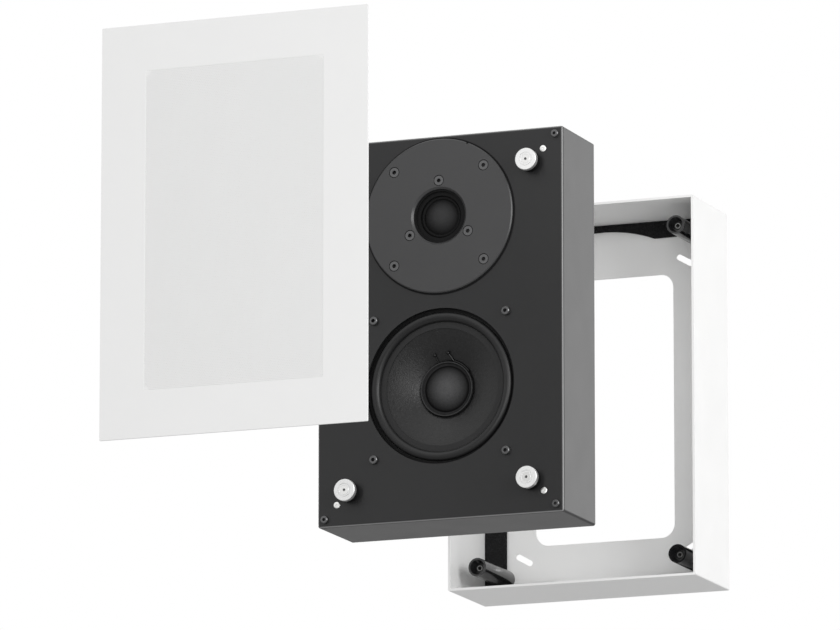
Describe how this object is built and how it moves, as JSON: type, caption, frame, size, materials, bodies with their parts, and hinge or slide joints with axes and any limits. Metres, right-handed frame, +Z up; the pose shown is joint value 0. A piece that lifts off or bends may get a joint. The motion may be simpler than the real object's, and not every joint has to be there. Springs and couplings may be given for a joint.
{
  "type": "loudspeaker",
  "caption": "On-wall two-way loudspeaker of folded sheet metal, taken apart along its depth: magnetic grille panel, black cabinet with dome tweeter and cone woofer, white wall frame with posts.",
  "frame": {"origin": "centre of the wall frame's back face, in the plane of the wall", "axes": "+X to the right seen from the front, +Y into the wall, +Z up; the front faces -Y"},
  "size_m": [0.222, 0.8158, 0.325],
  "materials": {
    "white_paint": "matte",
    "white_cloth": "matte",
    "black_paint": "satin",
    "plate_black": "satin",
    "black_steel": "satin",
    "zinc_steel": "satin",
    "nickel": "satin",
    "black_rubber": "satin",
    "black_foam": "matte",
    "grey_foam": "matte",
    "cone_paper": "matte",
    "black_cloth": "matte",
    "spider_cloth": "matte",
    "copper": "satin",
    "ferrite": "matte",
    "black_plastic": "satin",
    "gloss_black": "gloss",
    "red_plastic": "gloss",
    "brass": "satin",
    "board_green": "satin",
    "capacitor_film": "gloss",
    "resistor_ceramic": "matte"
  },
  "bodies": {
    "mounting_frame": {"wall_frame": "white_paint", "foam_gasket": "black_foam", "frame_posts": "gloss_black", "post_inserts": "zinc_steel", "post_screws": "zinc_steel"},
    "cabinet": {"cabinet_shell": "black_paint", "rear_panel": "black_paint", "post_sleeves": "black_plastic", "corner_spacers": "zinc_steel", "corner_screws": "black_steel", "rear_screws": "black_steel", "cabinet_screws": "zinc_steel", "magnet_pillars": "black_plastic", "pot_magnets": "nickel", "magnet_screws": "zinc_steel", "baffle_nuts": "zinc_steel", "tweeter_plate": "plate_black", "plate_screws": "black_steel", "plate_nuts": "zinc_steel", "tweeter_screws": "black_steel", "tweeter_face": "black_plastic", "tweeter_dome": "black_cloth", "tweeter_coil": "copper", "tweeter_top_plate": "zinc_steel", "tweeter_magnet": "ferrite", "tweeter_yoke": "zinc_steel", "tweeter_chamber": "black_plastic", "woofer_gasket": "black_foam", "woofer_basket": "black_steel", "woofer_surround": "black_rubber", "woofer_spider": "spider_cloth", "woofer_top_plate": "zinc_steel", "woofer_magnet": "ferrite", "woofer_yoke": "zinc_steel", "woofer_screws": "black_steel", "terminal_cup": "black_plastic", "cup_screws": "black_steel", "binding_posts": "brass", "terminal_nuts": "zinc_steel", "crossover_board": "board_green", "board_standoffs": "zinc_steel", "board_screws": "zinc_steel", "crossover_coils": "copper", "crossover_capacitors": "capacitor_film", "crossover_resistor": "resistor_ceramic", "woofer_tag": "board_green", "tweeter_tag": "board_green", "input_wires": "black_rubber", "tweeter_wires": "black_rubber", "woofer_wires": "black_rubber", "damping_pad": "grey_foam"},
    "grille": {"grille_panel": "white_paint", "grille_cloth": "white_cloth"},
    "diaphragm": {"woofer_cone": "cone_paper", "dust_cap": "cone_paper", "woofer_coil": "copper", "cone_leads": "black_rubber"},
    "red_terminal_cap": {"red_cap": "red_plastic"},
    "black_terminal_cap": {"black_cap": "gloss_black"}
  },
  "joints": [
    {"name": "cabinet_slide", "type": "slide", "parent": "mounting_frame", "child": "cabinet", "axis": [0, 1, 0], "range_m": [0, 0.308]},
    {"name": "grille_slide", "type": "slide", "parent": "cabinet", "child": "grille", "axis": [0, 1, 0], "range_m": [0, 0.4177]},
    {"name": "cone_travel", "type": "slide", "parent": "cabinet", "child": "diaphragm", "axis": [0, -1, 0], "range_m": [-0.004, 0.004], "stiffness_N_per_m": 1000, "deforming": ["woofer_surround", "woofer_spider"]},
    {"name": "red_cap_turn", "type": "hinge", "parent": "cabinet", "child": "red_terminal_cap", "pos_m": [-0.0095, -0.3143, 0.028], "axis": [0, 1, 0], "range_deg": [0, 720]},
    {"name": "black_cap_turn", "type": "hinge", "parent": "cabinet", "child": "black_terminal_cap", "pos_m": [0.0095, -0.3143, 0.028], "axis": [0, 1, 0], "range_deg": [0, 720]}
  ]
}
